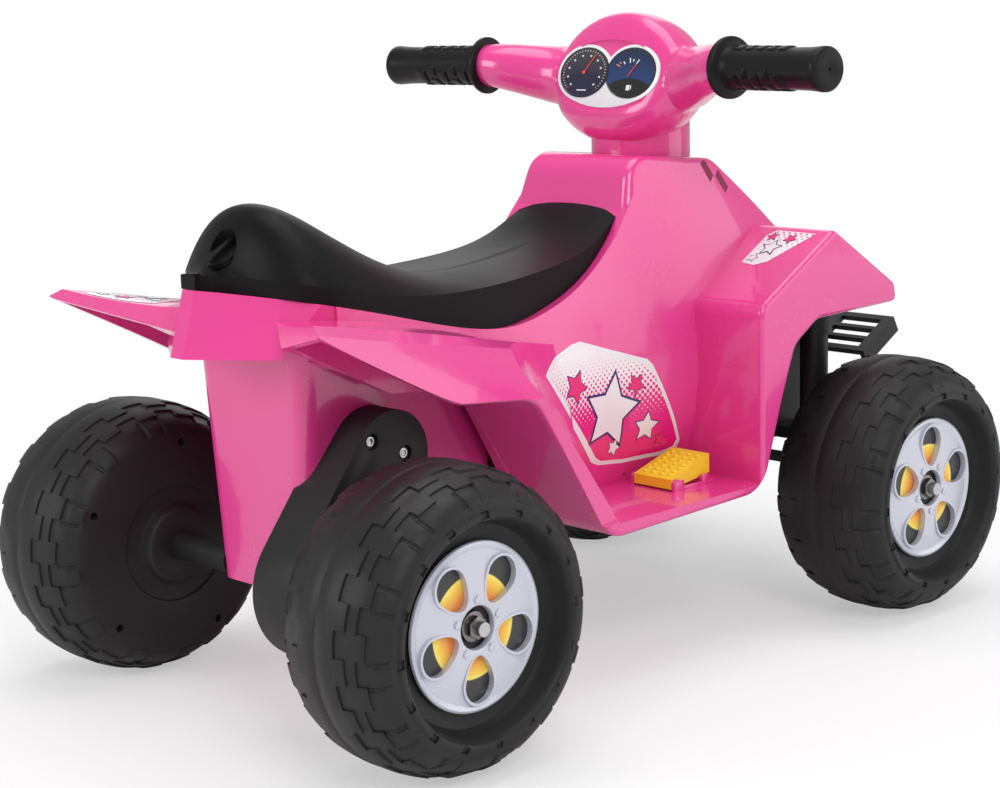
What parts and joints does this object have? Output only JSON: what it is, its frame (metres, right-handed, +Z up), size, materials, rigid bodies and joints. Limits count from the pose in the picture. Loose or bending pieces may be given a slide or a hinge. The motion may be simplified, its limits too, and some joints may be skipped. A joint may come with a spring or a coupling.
{
  "type": "ride-on quad bike",
  "caption": "Toddler-size ride-on quad bike with moulded body, lift-off seat, steered front wheels and foot pedal.",
  "frame": {"origin": "on the ground under the middle of the wheelbase", "axes": "+X forward, +Y to the rider's left, +Z up"},
  "size_m": [0.726, 0.482, 0.497],
  "materials": {
    "pink_plastic": "glossy moulded",
    "black_plastic": "fine grained",
    "seat_plastic": "satin moulded",
    "wheel_plastic": "matte blow-moulded",
    "silver_plastic": "silver painted",
    "steel": "plated",
    "yellow_plastic": "moulded",
    "white_plate": "printed plate",
    "grip_plastic": "soft moulded",
    "battery_case": "plain"
  },
  "bodies": {
    "frame": {"body_shell": "pink_plastic", "rear_tub": "pink_plastic", "gear_case": "black_plastic", "drive_motor": "steel", "battery": "battery_case", "front_carrier": "black_plastic", "chassis_rail": "black_plastic", "front_bumper": "black_plastic", "rear_axle": "steel", "axle_bush": "black_plastic", "nut_rear_left": "steel", "nut_rear_right": "steel", "pedal_pin": "steel", "pedal_switch": "black_plastic"},
    "seat_unit": {"seat": "seat_plastic"},
    "lock_knob": {"seat_lock": "seat_plastic"},
    "steering": {"handlebar_tube": "steel", "cover_rear": "pink_plastic", "cover_front": "pink_plastic", "dash_plate": "white_plate", "grip_left": "grip_plastic", "grip_right": "grip_plastic", "neck_collar": "pink_plastic", "steering_column": "steel"},
    "drag_link": {"drag_link": "black_plastic"},
    "tie_rod": {"tie_rod": "black_plastic"},
    "knuckle_left": {"knuckle_left": "black_plastic", "stub_axle_left": "steel", "nut_front_left": "steel"},
    "knuckle_right": {"knuckle_right": "black_plastic", "stub_axle_right": "steel", "nut_front_right": "steel"},
    "wheel_front_left": {"wheel_front_left": "wheel_plastic", "hubcap_front_left": "silver_plastic"},
    "wheel_front_right": {"wheel_front_right": "wheel_plastic", "hubcap_front_right": "silver_plastic"},
    "wheel_rear_left": {"wheel_rear_left": "wheel_plastic", "hubcap_rear_left": "silver_plastic"},
    "wheel_rear_right": {"wheel_rear_right": "wheel_plastic", "hubcap_rear_right": "silver_plastic"},
    "pedal": {"pedal": "yellow_plastic"}
  },
  "joints": [
    {"name": "steer", "type": "hinge", "parent": "frame", "child": "steering", "pos_m": [0.145, 0, 0.3], "axis": [0, 0, 1], "range_deg": [-16, 16]},
    {"name": "steer_left", "type": "hinge", "parent": "frame", "child": "knuckle_left", "pos_m": [0.257, 0.095, 0.18], "axis": [0, 0, 1], "range_deg": [-16, 16]},
    {"name": "steer_right", "type": "hinge", "parent": "frame", "child": "knuckle_right", "pos_m": [0.257, -0.095, 0.18], "axis": [0, 0, 1], "range_deg": [-16, 16]},
    {"name": "drag_pivot", "type": "hinge", "parent": "steering", "child": "drag_link", "pos_m": [0.145, -0.03, 0.103], "axis": [0, 0, 1], "range_deg": [-16, 16]},
    {"name": "tie_pivot", "type": "hinge", "parent": "knuckle_left", "child": "tie_rod", "pos_m": [0.225, 0.095, 0.12], "axis": [0, 0, 1], "range_deg": [-16, 16]},
    {"name": "spin_front_left", "type": "hinge", "parent": "knuckle_left", "child": "wheel_front_left", "pos_m": [0.257, 0.176, 0.106], "axis": [0, 1, 0], "continuous": true},
    {"name": "spin_front_right", "type": "hinge", "parent": "knuckle_right", "child": "wheel_front_right", "pos_m": [0.257, -0.176, 0.106], "axis": [0, 1, 0], "continuous": true},
    {"name": "spin_rear_left", "type": "hinge", "parent": "frame", "child": "wheel_rear_left", "pos_m": [-0.257, 0.176, 0.106], "axis": [0, 1, 0], "continuous": true},
    {"name": "spin_rear_right", "type": "hinge", "parent": "frame", "child": "wheel_rear_right", "pos_m": [-0.257, -0.176, 0.106], "axis": [0, 1, 0], "continuous": true},
    {"name": "pedal_press", "type": "hinge", "parent": "frame", "child": "pedal", "pos_m": [0.046, -0.1015, 0.1335], "axis": [0, 1, 0], "range_deg": [0, 7], "stiffness_Nm_per_rad": 0.6, "springref_deg": -2.86},
    {"name": "seat_lift", "type": "slide", "parent": "frame", "child": "seat_unit", "axis": [0, 0, 1], "range_m": [0, 0.06]},
    {"name": "lock_turn", "type": "hinge", "parent": "seat_unit", "child": "lock_knob", "pos_m": [-0.292, 0, 0.347], "axis": [-0.5446, 0, 0.8387], "range_deg": [0, 90]}
  ],
  "couplings": [
    {"joint": "steer_left", "follows": "steer", "ratio": 1},
    {"joint": "steer_right", "follows": "steer", "ratio": 1},
    {"joint": "drag_pivot", "follows": "steer", "ratio": -1},
    {"joint": "tie_pivot", "follows": "steer", "ratio": -1}
  ]
}
